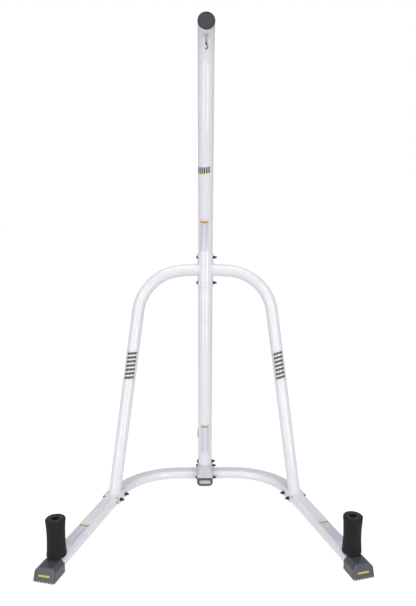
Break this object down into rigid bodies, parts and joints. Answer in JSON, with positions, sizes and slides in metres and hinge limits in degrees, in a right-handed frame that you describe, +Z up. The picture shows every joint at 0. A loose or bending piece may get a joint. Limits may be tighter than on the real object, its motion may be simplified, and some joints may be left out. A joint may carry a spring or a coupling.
{
  "type": "heavy bag stand",
  "caption": "Free-standing steel stand for a heavy punching bag, with a curved overhead arm, hanging hook, bent arch braces and foam-covered weight pegs.",
  "frame": {"origin": "on the floor, at the middle of the footprint", "axes": "+Z up, front of the stand (the arm and the splayed legs) towards -Y, +X to the right as seen from the front"},
  "size_m": [1.2374, 1.4889, 2.064],
  "materials": {
    "white_powder_coat": "gloss powder coat",
    "zinc_steel": "zinc plated",
    "black_fastener": "black oxide",
    "dark_steel": "dark plated",
    "grey_plastic": "moulded, matt",
    "black_foam": "soft foam"
  },
  "bodies": {
    "stand": {"arm_end_cap": "grey_plastic", "centre_end_cap": "grey_plastic", "centre_tube": "white_powder_coat", "hanger_fork": "zinc_steel", "hanger_pin": "zinc_steel", "left_arch_tube": "white_powder_coat", "left_crossmember": "white_powder_coat", "left_foot_cap": "grey_plastic", "left_front_leg": "white_powder_coat", "left_joint_insert": "zinc_steel", "left_peg": "white_powder_coat", "left_saddle": "white_powder_coat", "leg_joint_bolts": "black_fastener", "leg_joint_nuts": "black_fastener", "leg_joint_washers": "black_fastener", "leg_lock_screws": "black_fastener", "lower_mast": "white_powder_coat", "mast_foot_bolts": "black_fastener", "mast_foot_bracket": "white_powder_coat", "mast_foot_nuts": "black_fastener", "mast_foot_washers": "black_fastener", "mast_sleeve": "white_powder_coat", "mast_spigot": "zinc_steel", "rear_foot_cap": "grey_plastic", "rear_peg": "white_powder_coat", "right_arch_tube": "white_powder_coat", "right_crossmember": "white_powder_coat", "right_foot_cap": "grey_plastic", "right_front_leg": "white_powder_coat", "right_joint_insert": "zinc_steel", "right_peg": "white_powder_coat", "right_saddle": "white_powder_coat", "sleeve_bolts": "black_fastener", "sleeve_nuts": "black_fastener", "sleeve_washers": "black_fastener", "upper_mast": "white_powder_coat"},
    "left_foam": {"left_foam_roller": "black_foam"},
    "right_foam": {"right_foam_roller": "black_foam"},
    "rear_foam": {"rear_foam_roller": "black_foam"},
    "swivel": {"swivel_link": "zinc_steel", "swivel_bead": "dark_steel"},
    "hook": {"hook": "dark_steel"}
  },
  "joints": [
    {"name": "left_foam_slide", "type": "slide", "parent": "stand", "child": "left_foam", "axis": [0, 0, 1], "range_m": [0, 0.16]},
    {"name": "right_foam_slide", "type": "slide", "parent": "stand", "child": "right_foam", "axis": [0, 0, 1], "range_m": [0, 0.16]},
    {"name": "rear_foam_slide", "type": "slide", "parent": "stand", "child": "rear_foam", "axis": [0, 0, 1], "range_m": [0, 0.16]},
    {"name": "link_swing", "type": "hinge", "parent": "stand", "child": "swivel", "pos_m": [0, -0.29295, 1.97064], "axis": [0, 1, 0], "range_deg": [-20, 20]},
    {"name": "hook_swivel", "type": "hinge", "parent": "swivel", "child": "hook", "pos_m": [0, -0.29295, 1.95814], "axis": [0, 0, 1], "continuous": true}
  ]
}
